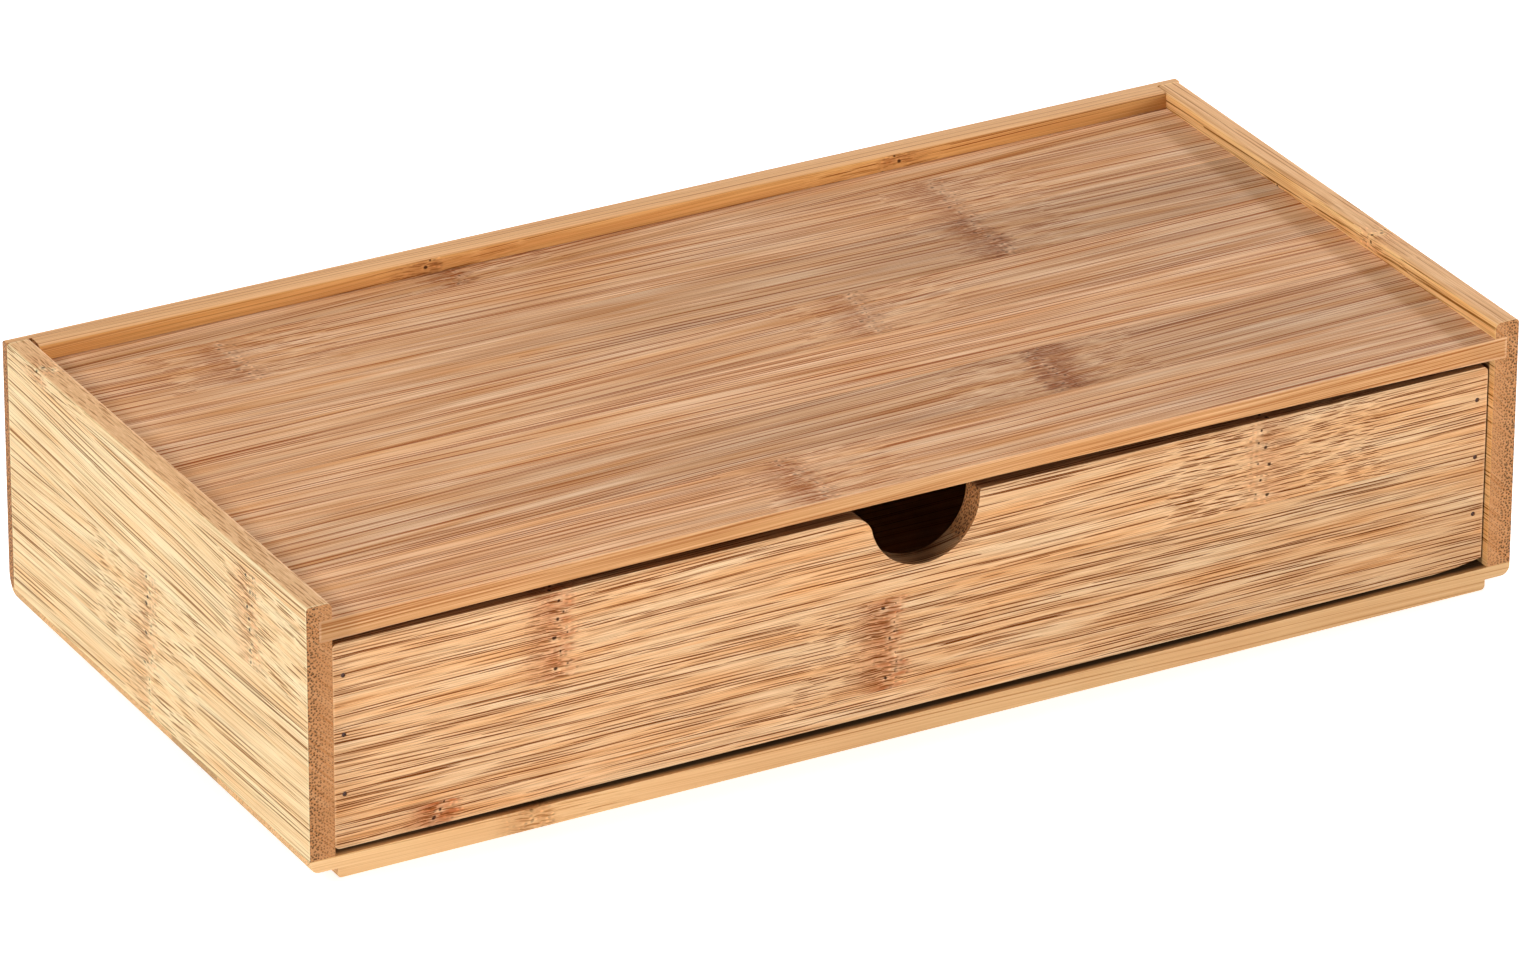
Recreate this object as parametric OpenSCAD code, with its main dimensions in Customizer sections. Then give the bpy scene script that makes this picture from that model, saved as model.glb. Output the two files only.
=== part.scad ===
// Bamboo desk organizer: a low case with a tray top and one full-width drawer.
// Units are millimetres. X is the width, -Y is the drawer side, +Z is up.
// The origin is the centre of the case's bounding box, on the surface it stands on.

/* [Case] */
// Overall width of the case
case_w = 350; // [260:1:450]
// Overall depth of the case, front edge to back face
case_d = 174; // [130:1:240]
// Overall height, underside of the plinth to the lip
case_h = 76.5; // [60:0.5:120]
// Thickness of the two side boards
side_t = 7; // [6.5:0.5:10]
// Thickness of the back board
back_t = 7.8; // [7:0.1:11]
// Thickness of the top board
top_t = 5.8; // [5:0.1:9]
// Thickness of the base board, plinth included
base_t = 6.3; // [5.6:0.1:9]
// Height of the lip above the top board
lip_h = 4.5; // [3.5:0.5:12]

/* [Case joints] */
// Depth of the slots in the sides and back that hold the top board
slot_d = 3.5; // [2:0.5:4]
// Thickness of the back board's flap behind the side boards
flap_t = 2.8; // [2:0.1:3.2]

/* [Plinth under the base] */
// Height of the plinth below the base's overhanging rim
plinth_h = 2.8; // [1.5:0.1:3]
// Clearance of the plinth inside the lip of a case below it
nest_gap = 0.5; // [0.3:0.1:1.5]
// Radius under the overhanging ends of the base
end_r = 2.6; // [1:0.1:2.6]
// Radius along the lower back edge of the case
heel_r = 7.5; // [2:0.5:8]
// Radius along the lower side edges of the plinth
plinth_r = 1.2; // [0.4:0.1:1.4]

/* [Eased edges] */
// Radius along the outer top edges of the lip
lip_out_r = 1; // [0.4:0.1:2]
// Radius along the inner top edges of the lip
lip_in_r = 1.6; // [0.4:0.1:3]
// Rise of the shallow arch under the front edge of the top board
arch_h = 1.3; // [0.4:0.1:2.5]
// Depth of the shallow hollow in the front edge of the base board
hollow_h = 0.7; // [0.2:0.1:1]
// How far back from the front edge the arch and the hollow run
arch_run = 12; // [4:1:30]

/* [Drawer fit] */
// Clearance beside the drawer, on each side
side_gap = 0.7; // [0.5:0.1:2]
// How far the loose drawer sits to the right of the middle
side_shift = 0.3; // [0:0.1:0.3]
// Clearance under the drawer
run_gap = 0.3; // [0.3:0.1:1]
// Clearance over the drawer front, at the ends of the arch
head_gap = 2.7; // [0.5:0.1:3]
// How far the drawer front sits behind the case's front edge
inset = 2.4; // [0:0.1:6]
// Clearance behind the closed drawer
stop_gap = 0.3; // [0.3:0.1:4]

/* [Drawer box] */
// Thickness of the drawer front
front_t = 7; // [6.5:0.5:12]
// Thickness of the drawer's side and back boards
wall_t = 6; // [5:0.5:8]
// How much lower than the front the side and back boards are
wall_drop = 1; // [0:0.5:25]
// Thickness of the drawer's floor panel
floor_t = 3; // [2:0.5:4]
// Height of the floor panel above the lower edge of the drawer
floor_up = 3; // [2:0.5:8]
// Depth of the groove that holds the floor panel
groove_d = 3; // [2:0.5:3.5]
// Slack of the floor panel in its groove, on each edge
floor_slack = 0.2; // [0.1:0.1:0.5]
// Radius on the corners of the drawer front
front_r = 1.6; // [0.5:0.1:3]
// Length of the curved relief at the front's lower right corner
relief_w = 17; // [8:0.5:30]
// Height of the curved relief at the front's right end
relief_h = 1.8; // [0.5:0.1:2.5]

/* [Finger notch] */
// Radius of the half-round notch in the drawer front
notch_r = 15.8; // [10:0.1:20]
// How far the notch's centre lies below the top edge of the front
notch_drop = 1.4; // [1:0.1:6]
// Radius that eases the notch into the top edge on the left
notch_ease_left = 6.5; // [3:0.5:8]
// Radius that eases the notch into the top edge on the right
notch_ease_right = 0.8; // [0.5:0.1:3]

/* [Brads] */
// Diameter of the headless brads in the drawer
brad_d = 1.2; // [0.8:0.1:1.6]
// Length of a brad
brad_l = 18; // [14:1:25]
// How far a brad's end is sunk below the face
brad_sink = 0.3; // [0.1:0.1:1]
// Height of the lowest brad above the drawer's lower edge
brad_low = 15; // [9:0.5:18]
// How far the highest brad lies below the top edge of the front
brad_high = 9; // [6:0.1:14]
// Radial clearance of a brad in its hole
brad_gap = 0.05; // [0.03:0.01:0.1]

/* [Hidden] */
$fn = 64;

// Cuts run this much past the faces they open
over = 1;
// Arcs that would only touch are made to cross by this much
cross = 0.05;
// Flat strips that make up the arch and the hollow
arch_steps = 24;

// Key planes of the case
front_y = -case_d / 2;
back_y = case_d / 2;
side_x = case_w / 2;
bay_x = side_x - side_t;
shoulder_y = back_y - back_t;
flap_y = back_y - flap_t;
top_z = case_h - lip_h;
under_z = top_z - top_t;

// Outside of the drawer
drawer_w = 2 * (bay_x - side_gap);
front_h = under_z - base_t - run_gap - head_gap;
wall_h = front_h - wall_drop;
drawer_l = shoulder_y - stop_gap - (front_y + inset);
drawer_z = base_t + run_gap;
drawer_y = front_y + inset;
wall_l = drawer_l - front_t - wall_t;

// The floor panel reaches this far from the drawer's outer faces
floor_in = wall_t - groove_d + floor_slack;
floor_w = drawer_w - 2 * floor_in;
floor_front = front_t - groove_d + floor_slack;
floor_l = drawer_l - floor_front - floor_in;

// Brads: half the wall thickness in from each end, at three heights
brad_x = drawer_w / 2 - wall_t / 2;
brad_top_z = front_h - brad_high;
brad_heights = [brad_low, (brad_low + brad_top_z) / 2, brad_top_z];

bamboo = [0.82, 0.64, 0.42];
bamboo_light = [0.90, 0.74, 0.50];
bamboo_orange = [0.86, 0.66, 0.42];
steel = [0.45, 0.44, 0.43];

// ---- shared shapes ----

// Rectangle from the origin with its own radius on each corner
module eased_rect(w, h, bl, br, tr, tl) {
    polygon([
        [bl, 0], [w - br, 0], [w, br], [w, h - tr],
        [w - tr, h], [tl, h], [0, h - tl], [0, bl]
    ]);
    if (bl > 0) translate([bl, bl]) circle(r = bl);
    if (br > 0) translate([w - br, br]) circle(r = br);
    if (tr > 0) translate([w - tr, h - tr]) circle(r = tr);
    if (tl > 0) translate([tl, h - tl]) circle(r = tl);
}

// Extrude a profile drawn in X and Z along Y, from y0 for the length l
module along_y(y0, l) {
    translate([0, y0 + l, 0])
        rotate([90, 0, 0])
            linear_extrude(height = l)
                children();
}

// Extrude a profile drawn in Y and Z along X, centred, for the length l
module along_x(l) {
    rotate([90, 0, 90])
        linear_extrude(height = l, center = true)
            children();
}

// Side view of the case above the plinth, with its rounded heel
module heel_outline() {
    polygon([
        [front_y, plinth_h],
        [back_y - heel_r, plinth_h],
        [back_y, plinth_h + heel_r],
        [back_y, case_h],
        [front_y, case_h]
    ]);
    translate([back_y - heel_r, plinth_h + heel_r])
        circle(r = heel_r);
}

// Cut along a board's front edge between the side boards: nothing at its ends,
// and the height h in the middle, measured up (or down) from the plane z
module bowed_cut(z, h) {
    past = h > 0 ? -over : over;
    along_y(front_y - over, arch_run + over)
        polygon(concat(
            [for (i = [0:arch_steps])
                let (u = 2 * i / arch_steps - 1)
                [u * bay_x, z + h * (1 - u * u)]],
            [[bay_x, z + past], [-bay_x, z + past]]
        ));
}

// ---- case ----

// Base board: full-size rim with rounded ends and a hollowed front edge, and the
// plinth that nests in a lip
module base_panel() {
    plinth_w = 2 * (bay_x - nest_gap);
    plinth_l = case_d - back_t - nest_gap;
    rim_h = base_t - plinth_h;
    color(bamboo_light) {
        difference() {
            intersection() {
                along_y(front_y - over, case_d + 2 * over)
                    translate([-side_x, plinth_h])
                        eased_rect(case_w, rim_h, end_r, end_r, 0, 0);
                along_x(case_w + 2 * over)
                    intersection() {
                        heel_outline();
                        translate([front_y, 0])
                            square([case_d, base_t]);
                    }
            }
            bowed_cut(base_t, -hollow_h);
        }
        along_y(front_y, plinth_l)
            translate([-plinth_w / 2, 0])
                eased_rect(plinth_w, plinth_h, plinth_r, plinth_r, 0, 0);
    }
}

// Side board on the left: lip edges eased, slot for the top board
module side_board() {
    board_l = flap_y - front_y;
    board_h = case_h - base_t;
    slot_l = shoulder_y + slot_d - front_y;
    difference() {
        along_y(front_y, board_l)
            translate([-side_x, base_t])
                eased_rect(side_t, board_h, 0, 0, lip_in_r, lip_out_r);
        translate([-bay_x - slot_d, front_y - over, under_z])
            cube([slot_d + over, slot_l + over, top_t]);
    }
}

module left_side_panel() {
    color(bamboo_light)
        side_board();
}

module right_side_panel() {
    color(bamboo_light)
        mirror([1, 0, 0])
            side_board();
}

// Back board: stands between the sides, with a flap that covers their ends
module back_panel() {
    board_h = case_h - base_t;
    color(bamboo)
        difference() {
            along_x(case_w)
                intersection() {
                    heel_outline();
                    difference() {
                        translate([shoulder_y, base_t])
                            eased_rect(back_t, board_h, 0, 0, lip_out_r, lip_in_r);
                        translate([shoulder_y - over, under_z])
                            square([slot_d + over, top_t]);
                    }
                }
            for (side = [-1, 1])
                translate([side * (bay_x + side_t) - side_t, shoulder_y - over, base_t - over])
                    cube([2 * side_t, flap_y - shoulder_y + over, board_h + 2 * over]);
        }
}

// Top board: held in the slots on three sides, with an arched front edge
module top_panel() {
    board_w = 2 * (bay_x + slot_d);
    board_l = shoulder_y + slot_d - front_y;
    color(bamboo)
        difference() {
            translate([-board_w / 2, front_y, under_z])
                cube([board_w, board_l, top_t]);
            bowed_cut(under_z, arch_h);
        }
}

// ---- drawer ----

// Places a piece drawn from the drawer's lower front edge, centred on X
module in_case() {
    translate([side_shift, drawer_y, drawer_z])
        children();
}

// Distance from the notch's centre to the centre of a circle that eases a shoulder
function notch_reach(ease) = sqrt(pow(notch_r + ease - cross, 2) - pow(notch_drop - ease, 2));

// Where that circle crosses the notch's own circle
function notch_meet(ease) =
    (notch_r - cross / 2) / (notch_r + ease - cross) * [notch_reach(ease), notch_drop - ease];

// Outline of the drawer front: eased corners, a half-round notch with eased
// shoulders, and a curved relief at the lower right corner
module front_outline() {
    half_w = drawer_w / 2;
    left = notch_ease_left;
    right = notch_ease_right;
    left_meet = notch_meet(left);
    relief_r = (pow(relief_w, 2) + pow(relief_h, 2)) / (2 * relief_h);
    difference() {
        union() {
            difference() {
                translate([-half_w, 0])
                    eased_rect(drawer_w, front_h, front_r, 0, front_r, front_r);
                translate([0, front_h - notch_drop])
                    polygon([
                        [-notch_reach(left), notch_drop + over],
                        [-notch_reach(left), notch_drop],
                        [-left_meet[0], left_meet[1]],
                        notch_meet(right),
                        [notch_reach(right), notch_drop],
                        [notch_reach(right), notch_drop + over]
                    ]);
            }
            translate([-notch_reach(left), front_h - left])
                circle(r = left);
            translate([notch_reach(right), front_h - right])
                circle(r = right);
        }
        translate([0, front_h - notch_drop])
            circle(r = notch_r);
        difference() {
            translate([half_w - relief_w, -over])
                square([relief_w + over, relief_h + over]);
            translate([half_w - relief_w, relief_r - cross / 2])
                circle(r = relief_r, $fn = 360);
        }
    }
}

// Brads that enter the front face at y = 0 and run back along Y
module brad_row(r, start, len) {
    for (side = [-1, 1], z = brad_heights)
        translate([side * brad_x, start, z])
            rotate([-90, 0, 0])
                cylinder(r = r, h = len, $fn = 24);
}

module front_brads(r, start, len) {
    brad_row(r, start, len);
}

module back_brads(r, start, len) {
    translate([0, drawer_l, 0])
        mirror([0, 1, 0])
            brad_row(r, start, len);
}

// Every brad hole in the drawer, open at the outer faces
module brad_holes() {
    hole_r = brad_d / 2 + brad_gap;
    hole_l = over + brad_sink + brad_l + brad_gap;
    front_brads(hole_r, -over, hole_l);
    back_brads(hole_r, -over, hole_l);
}

// Room for the floor panel and its slack in all four boards
module floor_groove() {
    translate([-floor_w / 2 - floor_slack, front_t - groove_d, floor_up])
        cube([floor_w + 2 * floor_slack, floor_l + 2 * floor_slack, floor_t]);
}

module drawer_front() {
    color(bamboo_orange)
        in_case()
            difference() {
                along_y(0, front_t)
                    front_outline();
                floor_groove();
                brad_holes();
            }
}

// Side board of the drawer, on the left, with eased upper edges
module drawer_side() {
    ease = wall_t / 6;
    difference() {
        along_y(front_t, wall_l)
            translate([-drawer_w / 2, 0])
                eased_rect(wall_t, wall_h, 0, 0, ease, ease);
        floor_groove();
        brad_holes();
    }
}

module drawer_side_left() {
    color(bamboo_light)
        in_case()
            drawer_side();
}

module drawer_side_right() {
    color(bamboo_light)
        in_case()
            mirror([1, 0, 0])
                drawer_side();
}

module drawer_back() {
    ease = wall_t / 6;
    color(bamboo)
        in_case()
            difference() {
                translate([0, drawer_l - wall_t, 0])
                    along_x(drawer_w)
                        eased_rect(wall_t, wall_h, 0, 0, ease, ease);
                floor_groove();
                brad_holes();
            }
}

module drawer_floor() {
    color(bamboo)
        in_case()
            translate([-floor_w / 2, floor_front, floor_up])
                cube([floor_w, floor_l, floor_t]);
}

module drawer_brads() {
    color(steel)
        in_case() {
            front_brads(brad_d / 2, brad_sink, brad_l);
            back_brads(brad_d / 2, brad_sink, brad_l);
        }
}

base_panel();
left_side_panel();
right_side_panel();
back_panel();
top_panel();
drawer_front();
drawer_side_left();
drawer_side_right();
drawer_back();
drawer_floor();
drawer_brads();
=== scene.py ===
"""Bamboo desk organizer: materials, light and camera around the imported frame.

Lengths are metres in Blender and millimetres inside the wood patterns. Colours are
8-bit screen values, which srgb() makes linear.
"""

import math

import bpy
from mathutils import Matrix, Vector


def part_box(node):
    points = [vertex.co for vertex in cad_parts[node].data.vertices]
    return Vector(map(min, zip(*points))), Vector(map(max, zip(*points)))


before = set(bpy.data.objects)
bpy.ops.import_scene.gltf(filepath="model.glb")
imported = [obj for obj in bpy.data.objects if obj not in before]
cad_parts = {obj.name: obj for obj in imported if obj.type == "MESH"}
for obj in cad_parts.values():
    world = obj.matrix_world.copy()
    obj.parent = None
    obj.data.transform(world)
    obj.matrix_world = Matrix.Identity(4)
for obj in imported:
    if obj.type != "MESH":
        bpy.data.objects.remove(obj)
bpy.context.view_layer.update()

MM = 1000.0  # millimetres in a metre


# ---- camera ----

def add_camera():
    """The viewing angle: from the front left, 26 degrees above the table."""
    data = bpy.data.cameras.new("camera")
    data.sensor_fit = "HORIZONTAL"
    data.sensor_width = 36.0
    data.lens = 249.6
    data.clip_start, data.clip_end = 0.1, 20.0
    cam = bpy.data.objects.new("camera", data)
    bpy.context.scene.collection.objects.link(cam)
    place = (-1.1900, -2.15236, 1.23938)
    right = Vector((0.876166, -0.481990, 0.004294))
    up = Vector((0.208842, 0.387632, 0.897845))
    back = right.cross(up)
    turn = Matrix((right, up, back)).transposed().to_4x4()
    cam.matrix_world = Matrix.Translation(place) @ turn
    bpy.context.scene.camera = cam


# ---- colours ----

def srgb(r, g, b):
    """A colour given as 8-bit screen values, as linear values for a socket."""
    def line(x):
        x /= 255.0
        return x / 12.92 if x <= 0.04045 else ((x + 0.055) / 1.055) ** 2.4
    return (line(r), line(g), line(b), 1.0)


def times(colour, factor):
    """A screen colour made paler or darker."""
    return [min(255, factor * c) for c in colour]


# ---- node trees ----

class Web:
    """The node tree of a material or world, with a short call for each kind of node."""

    def __init__(self, holder):
        self.holder = holder
        holder.use_nodes = True
        self.tree = holder.node_tree
        self.tree.nodes.clear()

    def put(self, kind, **props):
        node = self.tree.nodes.new("ShaderNode" + kind)
        for key, value in props.items():
            setattr(node, key, value)
        return node

    def feed(self, socket, value):
        if isinstance(value, bpy.types.NodeSocket):
            self.tree.links.new(value, socket)
        else:
            socket.default_value = value

    def math(self, op, a, b=0.0, c=0.0):
        node = self.put("Math", operation=op)
        for socket, value in zip(node.inputs, (a, b, c)):
            self.feed(socket, value)
        return node.outputs[0]

    def add(self, a, b):
        return self.math("ADD", a, b)

    def sub(self, a, b):
        return self.math("SUBTRACT", a, b)

    def mul(self, a, b):
        return self.math("MULTIPLY", a, b)

    def div(self, a, b):
        return self.math("DIVIDE", a, b)

    def size(self, a):
        return self.math("ABSOLUTE", a)

    def least(self, a, b):
        return self.math("MINIMUM", a, b)

    def most(self, a, b):
        return self.math("MAXIMUM", a, b)

    def ramp(self, value, low, high, to_low=0.0, to_high=1.0, smooth=True):
        """value mapped from low..high to to_low..to_high, and held at both ends."""
        node = self.put("MapRange", clamp=True,
                        interpolation_type="SMOOTHSTEP" if smooth else "LINEAR")
        for key, x in (("Value", value), ("From Min", low), ("From Max", high),
                       ("To Min", to_low), ("To Max", to_high)):
            self.feed(node.inputs[key], x)
        return node.outputs["Result"]

    def vec(self, x, y, z):
        node = self.put("CombineXYZ")
        for socket, value in zip(node.inputs, (x, y, z)):
            self.feed(socket, value)
        return node.outputs[0]

    def xyz(self, vector):
        node = self.put("SeparateXYZ")
        self.feed(node.inputs[0], vector)
        return node.outputs

    def rgb(self, colour):
        node = self.put("SeparateColor")
        self.feed(node.inputs[0], colour)
        return node.outputs

    def scaled(self, vector, factor):
        node = self.put("VectorMath", operation="SCALE")
        self.feed(node.inputs[0], vector)
        self.feed(node.inputs["Scale"], factor)
        return node.outputs[0]

    def noise(self, vector, detail=1.0, rough=0.5):
        """Noise around zero, about -0.5 to 0.5."""
        node = self.put("TexNoise", noise_dimensions="3D", normalize=True)
        self.feed(node.inputs["Vector"], vector)
        node.inputs["Scale"].default_value = 1.0
        node.inputs["Detail"].default_value = detail
        node.inputs["Roughness"].default_value = rough
        return self.sub(node.outputs[0], 0.5)

    def voronoi(self, dimensions, where, spread=1.0):
        node = self.put("TexVoronoi", voronoi_dimensions=dimensions, feature="F1")
        self.feed(node.inputs["W" if dimensions == "1D" else "Vector"], where)
        node.inputs["Scale"].default_value = 1.0
        node.inputs["Randomness"].default_value = spread
        return node, self.rgb(node.outputs["Color"])[0]

    def cells(self, x, y, spread=1.0):
        """Distance to the nearest cell's point, and that cell's random number."""
        node, luck = self.voronoi("2D", self.vec(x, y, 0.0), spread)
        return node.outputs["Distance"], luck

    def beads(self, value):
        """Cells along a line: distance to the nearest point, and its random number."""
        node, luck = self.voronoi("1D", value)
        return node.outputs["Distance"], luck

    def threads(self, run, row, wide, tail=0.55, solid=0.5):
        """Long thin tapered lines, one or none in each row: strength and random number.

        wide is a line's half width in rows, tail the share of a unit of run at
        which it ends, and solid the share of the width where it isn't faded.
        """
        stagger = 0.618  # of a unit of run, from one row to the next
        where = self.vec(self.add(run, self.mul(row, stagger)), row, 0.0)
        node, luck = self.voronoi("2D", where, 0.85)
        off = self.put("VectorMath", operation="SUBTRACT")
        self.feed(off.inputs[0], where)
        self.feed(off.inputs[1], node.outputs["Position"])
        away = self.put("VectorMath", operation="ABSOLUTE")
        self.feed(away.inputs[0], off.outputs[0])
        along, across = self.xyz(away.outputs[0])[:2]
        half = self.mul(self.ramp(along, 0.2 * tail, tail, 1.0, 0.0), wide)
        strength = self.ramp(across, self.mul(half, solid),
                             self.add(self.mul(half, 1.3), 0.02), 1.0, 0.0)
        return strength, luck

    def mix(self, share, a, b):
        node = self.put("Mix", data_type="RGBA", clamp_factor=True)
        self.feed(node.inputs["Factor"], share)
        self.feed(node.inputs[6], a)
        self.feed(node.inputs[7], b)
        return node.outputs[2]

    def cover(self, colour, share, screen):
        """colour, covered to the given share by a screen colour."""
        return self.mix(share, colour, srgb(*screen))

    def finish(self, shader, kind="OutputMaterial"):
        out = self.put(kind)
        self.feed(out.inputs["Surface"], shader)
        return self.holder


# ---- bamboo ----

GLOSS = 0.06                   # specular level of the thin oil finish
BEND = 2.4                     # mm that the fibres wander across the board
STRIP_STEP = 31.7              # the pattern's jump from strip to strip, along the grain
SHEET_STEP = 3.37              # and across it
CELL = 0.8                     # mm from bundle to bundle in the end grain
ALL_DENSE = (1000.0, 2000.0)   # skins that lie off the board on one side
ALL_SPARSE = (-1000.0, -999.0)  # and on the other

# A culm node. Places are mm from its ridge, positive on the side of the flame.
SWAY, FLAME_SWAY = 4.0, 8.0    # how far the ridge and the flame wander
BOW = 24.0                     # how far the flame bows, a quarter of it within a strip
BAND = (-6.0, -1.5, 1.0, 14.0)  # the dark band starts, is full, fades, has gone
TEETH, GAPS = 9.0, 12.0        # how ragged the band is, and the pause of the lines
FLAME_START, SHORT = 9.0, 8.0  # the flame's near end, and its lines' length
APPROACH, MEDIUM = -30.0, 14.0  # the same for the lines that lead up to it
PAUSE = (0.8, 3.6)             # how far from the ridge lines stop, and run in full
PIT = (50, 16, 2)              # colour of the dots on the ridge
PIT_PITCH, PIT_AREA = 2.8, 7.8  # mm from dot to dot, and about its square
PIT_SWAY, PIT_RADIUS = 4.5, 0.4
HALO = (0.5, 2.2)              # radii of the paler patch around a dot


class Look:
    """How a board's bamboo looks: colours wood, tint, streak and knot, and these."""

    joints = ()           # culm nodes: (strip, place along the grain, lean, side of the
                          # flame, the flame's length, strength)
    tones = ()            # brightness of the strips: (strip, left, middle, right)
    length = 160.0        # of a dark line
    pitch = 0.8           # from one row of dark lines to the next
    wide = 0.17           # half a dark line's width
    core = 0.5            # share of that width where the line isn't faded
    depth = 0.9           # strength of the dark lines
    share = 0.45          # how many rows hold a dark line
    clump = 0.7           # how far the dark lines gather in patches
    hairs = 0.45          # strength of the finer lines between them
    fine = 0.25           # contrast of the fine fibres
    swing = 0.06          # contrast of the slow clouds
    slope = 0.02          # how far the fibres may lean in a strip
    pits = 0.9            # strength of the dots on a culm node's ridge
    end = (204, 145, 95)  # colour of the end grain
    skins = ALL_DENSE     # where, through the board, bundles are densest and sparsest
    edge = None           # wood colour on the narrow faces along the strips
    nicks = None          # length of the dashes that the lines are cut into there
    veils = ()            # where gaps and corners darken the finish: (axis, start, end,
                          # painted shade in gaps, under the top board's edge and
                          # beside the lips: (axis, start, end, level there, the side that
                          # a face has to look to or None, None or (axis, full, gone) where
                          # it fades out)
    box = None            # the node's box, for its worn edges

    def __init__(self, **given):
        for key, value in given.items():
            setattr(self, key, value)


class Bamboo(Web):
    """Laminated bamboo board.

    grain and across name the axes of the fibres and of the strips. strips is a
    strip's width and phase a glue line's place.
    """

    def __init__(self, name, grain, across, strips, phase, seed, look):
        super().__init__(bpy.data.materials.new(name))
        self.look, self.strips, self.seed = look, strips, seed
        place = self.put("TexCoord")
        self.spot = dict(zip("xyz", self.xyz(self.scaled(place.outputs["Object"], MM))))
        self.turn = dict(zip("xyz", self.xyz(place.outputs["Normal"])))
        third = (set("xyz") - {grain, across}).pop()
        self.u, self.v, self.t = (self.spot[k] for k in (grain, across, third))
        # 1 on the narrow faces along the strips, and 1 on the end grain
        self.brim = self.ramp(self.size(self.turn[across]), 0.62, 0.74)
        self.facing = self.ramp(self.size(self.turn[grain]), 0.55, 0.75)
        self.find_strip(phase)
        self.find_culm_nodes()

    def cloud(self, along, across, salt, detail, rough=0.5):
        """Noise that is so many mm long along the grain, with a value across it."""
        return self.noise(self.vec(self.div(self.u, along), across, self.seed + salt),
                          detail, rough)

    def own(self, value, width):
        """A value in units of width that starts elsewhere in each strip."""
        return self.add(self.div(value, width), self.offset)

    def in_strip(self, strip):
        return self.math("COMPARE", self.number, float(strip), 0.5)

    def find_strip(self, phase):
        """The strip's number, the place inside it, and how its fibres run."""
        row = self.div(self.sub(self.v, phase), self.strips)
        self.number = self.math("FLOOR", row)
        self.inside = self.sub(self.sub(row, self.number), 0.5)
        rand = self.put("TexWhiteNoise", noise_dimensions="1D")
        self.feed(rand.inputs["W"], self.add(self.number, self.seed + 0.5))
        self.chance, lean = self.rgb(rand.outputs["Color"])[:2]
        self.offset = self.mul(self.add(self.number, self.seed), STRIP_STEP)
        # the fibres bend a little along the board, and lean in each strip
        bend = self.cloud(110.0, self.own(self.v, 30.0), 0.0, 2.0)
        lean = self.mul(self.sub(lean, 0.5), 2.0 * self.look.slope)
        self.fibres = self.add(self.add(self.v, self.mul(bend, BEND)),
                               self.mul(lean, self.u))

    def find_culm_nodes(self):
        """Around a culm node the fibres are cut short, swirl and darken."""
        self.deep = self.add(self.v, self.t)
        self.comb = self.cloud(10.0, self.div(self.deep, 1.1), 5.1, 1.0)
        self.wobble = self.cloud(9.0, self.div(self.deep, 6.0), 7.3, 2.0)
        bead, bead_luck = self.beads(self.div(self.deep, PIT_PITCH))
        self.shift = self.band = self.dots = self.halo = self.rush = self.pause = 0.0
        for strip, at, lean, side, flame, strength in self.look.joints:
            here = self.in_strip(strip)

            def tally(total, value):
                return self.add(total, self.mul(here, value))

            ridge = self.add(self.add(at, self.mul(self.inside, lean)),
                             self.mul(self.wobble, SWAY))
            along = self.mul(self.sub(ridge, self.u), float(side))
            # the flame: a tongue of short lines along the strip
            bow = self.mul(self.mul(self.inside, self.inside), BOW)
            x = self.add(self.sub(along, bow), self.mul(self.wobble, FLAME_SWAY))
            short = self.ramp(x, FLAME_START, flame,
                              0.0, (flame - FLAME_START) / SHORT, smooth=False)
            medium = self.ramp(along, APPROACH, FLAME_START,
                               0.0, (FLAME_START - APPROACH) / MEDIUM, smooth=False)
            self.shift = tally(self.shift, self.add(short, medium))
            quiet = self.mul(self.ramp(x, -12.0, 0.0),
                             self.ramp(x, flame - 4.0, flame + 10.0, 1.0, 0.0))
            self.rush = tally(self.rush, quiet)
            # the band: a dark stripe with a ragged edge
            teeth = self.add(along, self.mul(self.comb, TEETH))
            band = self.mul(self.ramp(teeth, *BAND[:2]),
                            self.ramp(teeth, *BAND[2:], 1.0, 0.0))
            self.band = tally(self.band, self.mul(band, strength))
            # pits: one dark dot for each bead along the ridge, a paler patch around it
            off = self.sub(along, self.mul(self.sub(bead_luck, 0.5), PIT_SWAY))
            away = self.math("SQRT", self.add(
                self.mul(off, off), self.mul(self.mul(bead, bead), PIT_AREA)))
            inner = self.mul(bead_luck, PIT_RADIUS)
            dot = self.ramp(away, inner, self.add(PIT_RADIUS, inner), 1.0, 0.0)
            self.dots = tally(self.dots, dot)
            self.halo = tally(self.halo, self.ramp(away, *HALO, 1.0, 0.0))
            # on the ridge itself the lines stop
            ragged = self.add(along, self.add(2.0, self.mul(self.comb, GAPS)))
            self.pause = tally(self.pause, self.ramp(self.size(ragged), *PAUSE, 1.0, 0.0))
        self.swirl = self.add(self.fibres, self.mul(self.wobble, self.mul(self.band, 2.0)))

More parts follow.
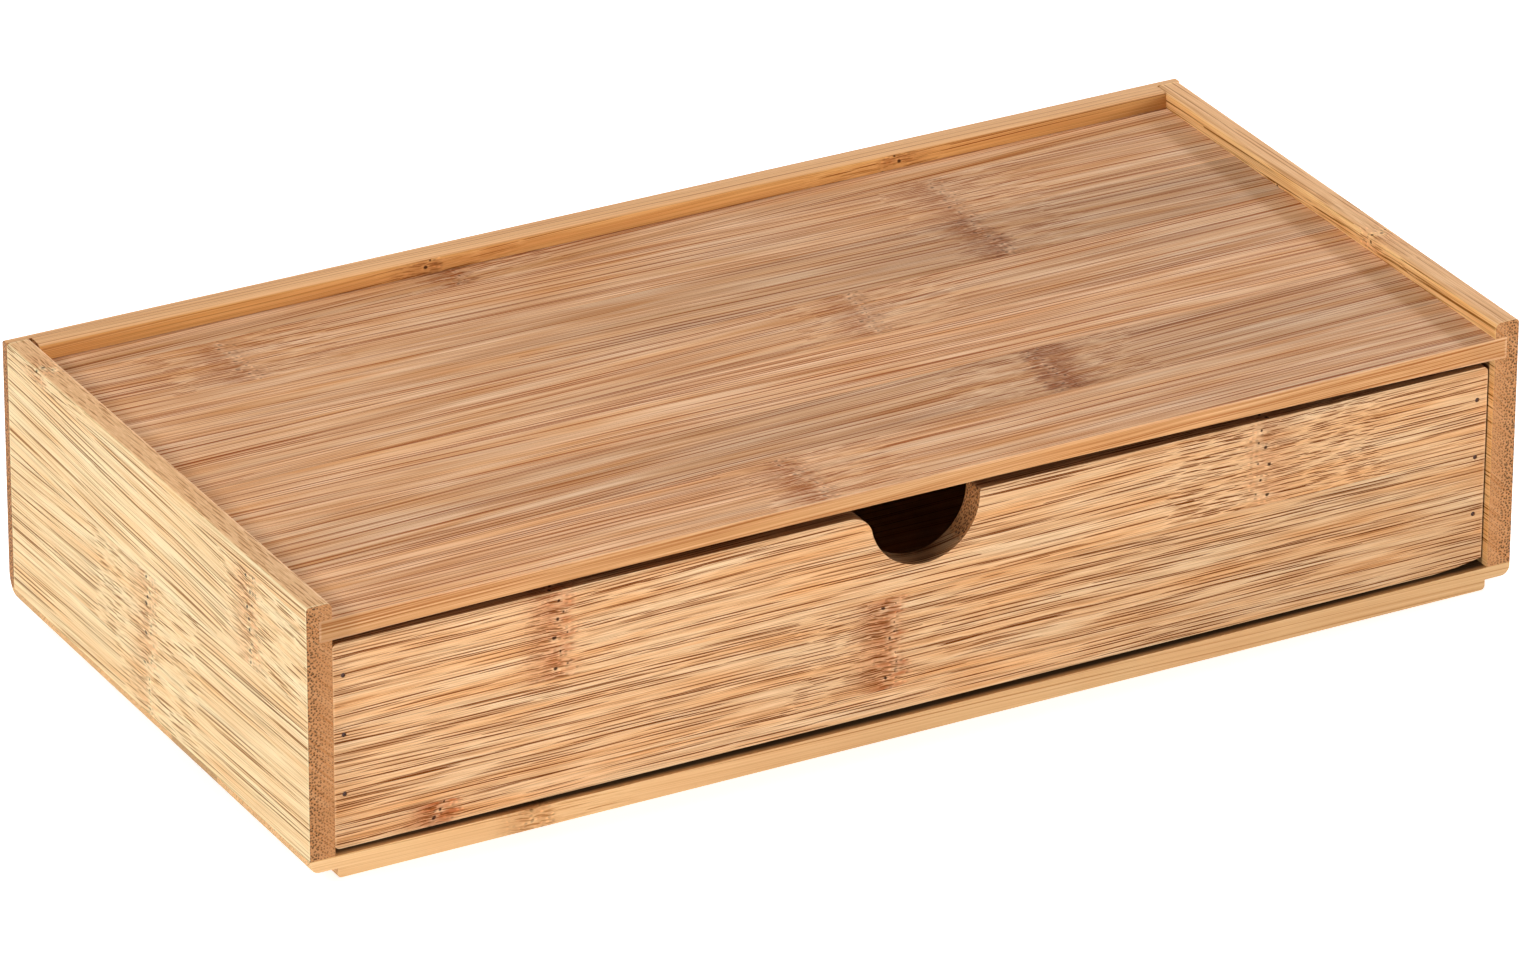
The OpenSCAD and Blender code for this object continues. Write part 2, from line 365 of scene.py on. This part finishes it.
    def draw_lines(self):
        """Vascular bundles: long thin dark lines, with finer ones between them.

        Their sheets lie at 45 degrees in the board, so that faces and edges both cut
        them at their own spacing. run counts along the lines and sheet across them.
        """
        look = self.look
        patch = self.cloud(70.0, self.own(self.fibres, 6.0), 3.0, 1.0)
        shift = self.shift
        if look.nicks:
            shift = self.add(shift, self.mul(self.brim, self.div(self.u, look.nicks)))
        self.run = self.add(self.div(self.u, look.length), self.add(shift, self.offset))
        step = self.mul(self.number, SHEET_STEP)
        self.sheet = self.add(self.swirl, self.add(self.t, step))
        wide = self.mul(look.wide / look.pitch, self.sub(1.0, self.mul(self.rush, 0.3)))
        line, luck = self.threads(self.run, self.div(self.sheet, look.pitch), wide,
                                  solid=look.core)
        rare = self.sub(self.sub(1.0 - look.share, self.mul(patch, look.clump)),
                        self.mul(self.rush, 0.2))
        line = self.mul(line, self.ramp(luck, self.sub(rare, 0.35), self.add(rare, 0.45)))
        pitch, far = 0.55 * look.pitch, 40.0  # hairs come from a far part of the pattern
        hair, luck = self.threads(self.add(self.mul(self.run, 1.5), far),
                                  self.div(self.sheet, pitch), 0.5 * look.wide / pitch)
        hair = self.mul(hair, self.mul(self.add(0.3, self.mul(luck, 0.7)), look.hairs))
        mark = self.least(self.most(line, hair), 1.0)
        if look.edge:
            mark = self.mul(mark, self.sub(1.0, self.mul(self.brim, 0.35)))
        self.mark = self.mul(mark, self.sub(1.0, self.mul(self.pause, 0.7)))

    def draw_small(self):
        """Flecks and grit on the culm nodes, fine fibres, and slow changes of tone."""
        # flecks: the short dashes that a node is made of
        fleck, luck = self.threads(self.div(self.u, 5.0), self.div(self.sheet, 0.85),
                                   0.30, 0.5)
        self.fleck = self.mul(self.mul(fleck, self.ramp(luck, 0.1, 0.6)),
                              self.least(self.band, 1.0))
        # grit: pale and dark specks on the ridge
        speck, luck = self.cells(self.div(self.u, 1.6), self.deep)
        grit = self.mul(self.ramp(speck, 0.15, 0.45, 1.0, 0.0), self.sub(luck, 0.55))
        self.grit = self.mul(grit, self.least(
            self.add(self.pause, self.mul(self.band, 0.5)), 1.0))
        fibre = self.noise(self.vec(self.mul(self.run, 2.5), self.div(self.sheet, 0.45),
                                    self.seed), 2.0, 0.6)
        self.fibre = self.mul(fibre, self.sub(1.0, self.mul(self.rush, 0.6)))
        self.tone = self.cloud(75.0, self.own(self.fibres, 4.0), 9.0, 3.0, 0.6)

    def long_grain(self):
        """The colour of the faces along the fibres."""
        look = self.look
        hue = self.cloud(50.0, self.own(self.fibres, 4.0), 21.0, 2.0)
        colour = self.mix(self.add(0.5, self.mul(hue, 2.4)), srgb(*look.wood),
                          srgb(*look.tint))
        if look.edge:
            colour = self.cover(colour, self.mul(self.brim, 0.9), look.edge)
        ragged = self.mul(self.band, self.add(0.5, self.mul(self.comb, 1.4)))
        colour = self.cover(colour, ragged, look.knot)
        colour = self.cover(colour, self.mul(self.halo, 0.35), times(look.wood, 1.05))
        colour = self.cover(colour, self.mul(self.mark, look.depth), look.streak)
        colour = self.cover(colour, self.mul(self.fleck, 0.85), look.streak)
        return self.cover(colour, self.mul(self.dots, look.pits), PIT)

    def end_grain(self):
        """The same bundles seen end on, dense and dark near the culm's skin."""
        end = self.look.end
        dot, luck = self.cells(self.div(self.v, CELL), self.div(self.t, CELL), 0.8)
        skin = self.ramp(self.t, *self.look.skins)
        broad = self.add(self.sub(0.33, self.mul(skin, 0.09)), self.mul(self.wobble, 0.08))
        pore = self.ramp(dot, self.sub(broad, 0.08), self.add(broad, 0.10), 1.0, 0.0)
        pore = self.mul(pore, self.mul(self.sub(1.0, self.mul(skin, 0.45)),
                                       self.add(0.6, self.mul(luck, 0.4))))
        cut = self.mix(self.add(0.5, self.mul(self.tone, 1.6)), srgb(*end),
                       srgb(*times(end, 0.88)))
        return self.cover(cut, pore, times(end, 0.42))

    def brightness(self):
        """The strip's own, slow clouds, fine fibres, grit, glue lines and painted shade.
        """
        look = self.look
        shade = self.add(1.0, self.mul(self.tone, 2.0 * look.swing))
        shade = self.add(self.add(shade, self.mul(self.fibre, look.fine)),
                         self.mul(self.grit, 0.7))
        reach = 120.0  # mm from the middle to where left and right hold
        for strip, left, middle, right in look.tones:
            level = self.add(
                self.ramp(self.u, -reach, 0.0, left - 1.0, middle - 1.0),
                self.ramp(self.u, 0.0, reach, 0.0, right - middle))
            shade = self.add(shade, self.mul(self.in_strip(strip), level))
        if not look.tones:
            shade = self.add(shade, self.mul(self.sub(self.chance, 0.5), 0.07))
        glue = self.ramp(self.size(self.inside), 0.5 - 0.20 / self.strips, 0.5, 0.0, 0.12)
        shade = self.sub(shade, glue)
        # painted shade: darker where shadow falls in gaps, under the top board's edge and
        # beside the lips
        for axis, start, stop, level, side, fade in look.veils:
            veil = self.ramp(self.spot[axis], start, stop, 0.0, 1.0 - level)
            if side:
                facing = self.mul(self.turn[side[-1]], -1.0 if side[0] == "-" else 1.0)
                veil = self.mul(veil, self.ramp(facing, 0.3, 0.8))
            if fade:
                axis, full, gone = fade
                veil = self.mul(veil, self.ramp(self.spot[axis], full, gone, 1.0, 0.0))
            shade = self.mul(shade, self.sub(1.0, veil))
        return shade

    def wear(self, colour):
        """Worn edges are a little paler, but not on the end grain."""
        low, high = self.look.box
        a, b, c = (self.least(self.sub(spot, low[k] * MM), self.sub(high[k] * MM, spot))
                   for k, spot in enumerate(self.spot.values()))
        second = self.most(self.least(a, b), self.least(self.most(a, b), c))
        rub = self.ramp(self.add(second, self.mul(self.wobble, 0.8)), 0.1, 0.8, 0.35, 0.0)
        rub = self.mul(rub, self.sub(1.0, self.facing))
        return self.cover(colour, rub, times(self.look.wood, 1.06))

    def build(self):
        self.draw_lines()
        self.draw_small()
        colour = self.mix(self.facing, self.long_grain(), self.end_grain())
        if self.look.box:
            colour = self.wear(colour)
        # a darker fibre or line is also a more saturated one
        rich = self.put("Gamma")
        self.feed(rich.inputs[0], colour)
        fibre = self.sub(1.0, self.mul(self.fibre, 2.0 * self.look.fine))
        self.feed(rich.inputs[1], self.add(fibre, self.mul(self.mark, 0.2)))

        bump = self.put("Bump")
        bump.inputs["Strength"].default_value = 0.35
        bump.inputs["Distance"].default_value = 0.00012
        self.feed(bump.inputs["Height"],
                  self.sub(self.mul(self.fibre, 0.5), self.mul(self.mark, 0.8)))

        shader = self.put("BsdfPrincipled")
        self.feed(shader.inputs["Base Color"],
                  self.scaled(rich.outputs[0], self.brightness()))
        duller = self.add(self.mul(self.mark, 0.12), self.mul(self.tone, 0.16))
        self.feed(shader.inputs["Roughness"], self.add(0.52, duller))
        self.feed(shader.inputs["Normal"], bump.outputs[0])
        shader.inputs["Specular IOR Level"].default_value = GLOSS
        return self.finish(shader.outputs[0])


def bamboo(name, grain, across, strips, phase, seed, **look):
    return Bamboo(name, grain, across, strips, phase, seed, Look(**look)).build()


def steel(name):
    """Dull steel of the sunk brads, browned by the wood."""
    w = Web(bpy.data.materials.new(name))
    place = w.put("TexCoord")
    grit = w.noise(w.scaled(place.outputs["Object"], 4.0 * MM), 2.0)
    shader = w.put("BsdfPrincipled")
    w.feed(shader.inputs["Base Color"],
           w.mix(w.add(0.5, w.mul(grit, 2.0)), srgb(72, 38, 20), srgb(48, 24, 12)))
    w.feed(shader.inputs["Roughness"], w.add(0.5, w.mul(grit, 0.5)))
    shader.inputs["Metallic"].default_value = 0.3
    return w.finish(shader.outputs[0])


# ---- the boards ----

def dress(node, material, bevel):
    """A CAD node gets its material and, where bevel isn't 0, softened edges."""
    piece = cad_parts[node]
    piece.data.materials.clear()
    piece.data.materials.append(material)
    if bevel:
        mod = piece.modifiers.new("ease", "BEVEL")
        mod.width = bevel
        mod.segments = 3
        mod.limit_method = "ANGLE"
        mod.angle_limit = math.radians(40.0)


def dress_all():
    strip = 26.0  # a strip's width
    top = bamboo("bamboo_top", "x", "y", strip, -8.8, 3.0,
                 wood=(231, 190, 152), tint=(209, 151, 98), streak=(148, 72, 4),
                 knot=(152, 96, 60), edge=(208, 153, 100),
                 length=130.0, pitch=1.0, wide=0.25, depth=0.85, share=0.60,
                 hairs=0.75, fine=0.42, swing=0.24, slope=0.03, pits=0.5,
                 joints=[(2, -124.0, 0.0, 1, 20.0, 0.6), (2, 86.0, 2.0, 1, 14.0, 0.6),
                         (1, 84.0, -2.0, 1, 12.0, 1.1), (0, 32.0, 6.0, 1, 20.0, 0.6),
                         (-2, 57.5, 4.0, -1, 26.0, 1.4), (-3, -29.0, 0.0, 1, 14.0, 0.9),
                         (3, -50.0, 0.0, 1, 10.0, 1.0)],
                 tones=[(-3, 1.13, 1.04, 0.92), (-2, 0.99, 0.86, 0.82),
                        (-1, 1.08, 1.06, 1.02), (0, 1.03, 0.98, 0.88),
                        (1, 1.04, 0.84, 0.72), (2, 1.0, 0.94, 0.89),
                        (3, 0.90, 0.90, 0.94)],
                 # painted shade: the board darker towards the left and right lips, where
                 # their shadow falls
                 veils=[("x", -158.5, -165.0, 0.83, None, None),
                        ("x", 157.5, 164.0, 0.94, None, None)],
                 box=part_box("top_panel"))
    front = bamboo("bamboo_front", "x", "z", 26.2, 13.0, 11.0,
                   wood=(244, 205, 160), tint=(239, 178, 120), streak=(126, 66, 14),
                   knot=(192, 110, 64), end=(228, 160, 103),
                   length=34.0, pitch=0.68, wide=0.185, core=0.8, depth=0.94,
                   share=0.69, clump=0.35, hairs=0.55, fine=0.30, swing=0.05,
                   slope=0.008,
                   joints=[(1, -104.0, 0.0, 1, 9.5, 1.0), (1, 100.0, 0.0, -1, 34.0, 0.4),
                           (0, -10.0, 0.0, 1, 28.0, 1.1), (-1, -137.0, 0.0, 1, 9.5, 1.6)],
                   tones=[(1, 0.97, 0.89, 0.86), (0, 0.93, 0.86, 0.77),
                          (-1, 0.97, 0.91, 0.77)],
                   # painted shade: the top face darker in the gap under the top board, and
                   # painted shadow on the front's upper edge below it
                   veils=[("y", -84.4, -82.0, 0.55, "z", None),
                          ("z", 61.0, 63.3, 0.86, None, None)],
                   box=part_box("drawer_front"))
    pale = dict(wood=(253, 231, 186), tint=(250, 209, 155), streak=(138, 82, 18),
                knot=(232, 172, 122), length=50.0, pitch=0.95, wide=0.24, share=0.55,
                hairs=0.5, fine=0.28, slope=0.03)
    left = bamboo("bamboo_left", "y", "z", strip, 20.5, 23.0,
                  joints=[(1, -56.0, 0.0, -1, 14.0, 0.9), (0, 3.0, 0.0, -1, 30.0, 0.7),
                          (-1, 5.0, 0.0, -1, 14.0, 0.5), (2, 66.0, 0.0, -1, 12.0, 0.8)],
                  skins=(-174.0, -168.5), edge=(230, 180, 131), nicks=10.0,
                  box=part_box("left_side_panel"), **pale)
    warm = dict(pale, wood=(246, 202, 142), tint=(240, 180, 112))
    right = bamboo("bamboo_right", "y", "z", strip, 20.5, 29.0,
                   joints=[(1, 20.0, 0.0, -1, 14.0, 0.8), (0, -40.0, 0.0, -1, 24.0, 0.6),
                           (2, -25.0, 0.0, 1, 16.0, 0.9)],
                   skins=(173.5, 168.5), edge=(226, 176, 128),
                   # painted shade: the inner face darker at its front end, in the gap
                   # beside the drawer front
                   veils=[("y", -84.9, -84.2, 0.3, "-x", ("z", 66.0, 70.0))],
                   box=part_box("right_side_panel"), **warm)
    # wood darker and more orange: partly the board's own tone, partly painted shade for
    # the back lip's inner face
    back = bamboo("bamboo_back", "x", "z", strip, 50.0, 37.0,
                  wood=(219, 161, 95), tint=(209, 146, 84), streak=(140, 80, 34),
                  knot=(172, 108, 62), edge=(223, 174, 126),
                  joints=[(0, -56.0, 0.0, 1, 12.0, 0.9), (0, 84.0, 0.0, -1, 12.0, 0.9)],
                  box=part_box("back_panel"))
    base = bamboo("bamboo_base", "x", "y", strip, -87.0, 41.0,
                  wood=(247, 203, 148), tint=(242, 190, 134), streak=(176, 118, 64),
                  knot=(204, 142, 90), end=(250, 202, 146), skins=ALL_SPARSE,
                  depth=0.6, fine=0.2, pits=0.4,
                  joints=[(0, -112.0, 0.0, 1, 9.5, 1.2)],
                  tones=[(0, 1.06, 0.92, 0.88), (2, 0.72, 1.0, 0.9), (6, 0.92, 1.0, 1.0)],
                  # painted shade: the top face darker under the drawer front, where its
                  # shadow falls
                  veils=[("y", -87.2, -84.8, 0.15, "z", None)],
                  box=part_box("base_panel"))
    # a darker copy of the wood for the drawer's inside: painted shade
    inner = dict(wood=(228, 184, 132), tint=(216, 164, 112), streak=(160, 106, 60),
                 knot=(186, 126, 80))
    walls = bamboo("bamboo_box", "y", "z", strip, 20.0, 53.0,
                   joints=[(0, -20.0, 0.0, 1, 20.0, 0.6)], **inner)
    rear = bamboo("bamboo_rear", "x", "z", strip, 20.0, 57.0,
                  joints=[(0, 60.0, 0.0, 1, 20.0, 0.6)], **inner)
    floor = bamboo("bamboo_floor", "x", "y", strip, -80.0, 61.0,
                   joints=[(1, 40.0, 0.0, 1, 20.0, 0.5), (3, -90.0, 0.0, 1, 16.0, 0.5)],
                   **inner)
    for node, material, bevel in (
            ("top_panel", top, 0.0003), ("drawer_front", front, 0.00045),
            ("left_side_panel", left, 0.0004), ("right_side_panel", right, 0.0004),
            ("back_panel", back, 0.0004), ("base_panel", base, 0.0004),
            ("drawer_side_left", walls, 0.0004), ("drawer_side_right", walls, 0.0004),
            ("drawer_back", rear, 0.0004), ("drawer_floor", floor, 0.0003),
            ("drawer_brads", steel("brad_steel"), 0)):
        dress(node, material, bevel)


# ---- floor and light ----

def sees_white(w):
    """1 for the rays that see the white surround, and 0 for those that light."""
    path = w.put("LightPath")
    seen = path.outputs["Is Camera Ray"]
    for ray in ("Is Glossy Ray", "Is Transmission Ray"):
        seen = w.most(seen, path.outputs[ray])
    return seen


def add_floor():
    """A plain pale floor that shows white to the camera and keeps the shadow."""
    mesh = bpy.data.meshes.new("floor")
    half = 3.0
    mesh.from_pydata([(-half, -half, 0), (half, -half, 0), (half, half, 0),
                      (-half, half, 0)], [], [(0, 1, 2, 3)])
    floor = bpy.data.objects.new("floor", mesh)
    bpy.context.scene.collection.objects.link(floor)
    w = Web(bpy.data.materials.new("floor"))
    matte = w.put("BsdfDiffuse")
    matte.inputs["Color"].default_value = (0.85, 0.85, 0.85, 1.0)
    glow = w.put("Emission")
    w.feed(glow.inputs["Strength"], w.mul(sees_white(w), 0.75))
    both = w.put("AddShader")
    w.feed(both.inputs[0], matte.outputs[0])
    w.feed(both.inputs[1], glow.outputs[0])
    mesh.materials.append(w.finish(both.outputs[0]))


def add_world():
    """White where it is seen, and a faint light from all around."""
    w = Web(bpy.data.worlds.new("studio"))
    sky = w.put("Background")
    sky.inputs["Color"].default_value = (1.0, 1.0, 1.0, 1.0)
    w.feed(sky.inputs["Strength"],
           w.ramp(sees_white(w), 0.0, 1.0, 0.12, 1.0, smooth=False))
    bpy.context.scene.world = w.finish(sky.outputs[0], "OutputWorld")


def add_lamp(name, place, size, watts):
    """A soft rectangular lamp: size is its width and height. It looks at the case."""
    data = bpy.data.lights.new(name, "AREA")
    data.shape = "RECTANGLE"
    data.size, data.size_y = size
    data.energy = watts
    lamp = bpy.data.objects.new(name, data)
    bpy.context.scene.collection.objects.link(lamp)
    lamp.location = place
    middle = Vector((0.0, 0.0, 0.04))
    lamp.rotation_euler = (middle - Vector(place)).to_track_quat("-Z", "Y").to_euler()


add_camera()
dress_all()
add_floor()
add_world()
add_lamp("key", (-2.0, -0.75, 0.13), (0.6, 0.16), 16.0)
add_lamp("fill", (0.5, -2.1, 0.12), (0.6, 0.16), 29.2)
add_lamp("over", (0.1, 0.4, 1.9), (0.75, 0.75), 19.5)
add_lamp("wing", (-1.6, 0.3, 1.0), (0.6, 0.6), 9.4)
add_lamp("rim", (1.9, 1.9, 0.79), (0.2, 0.2), 19.0)
add_lamp("side", (1.9, 0.0, 0.78), (0.15, 0.15), 8.0)

scene = bpy.context.scene
scene.view_settings.view_transform = "Standard"
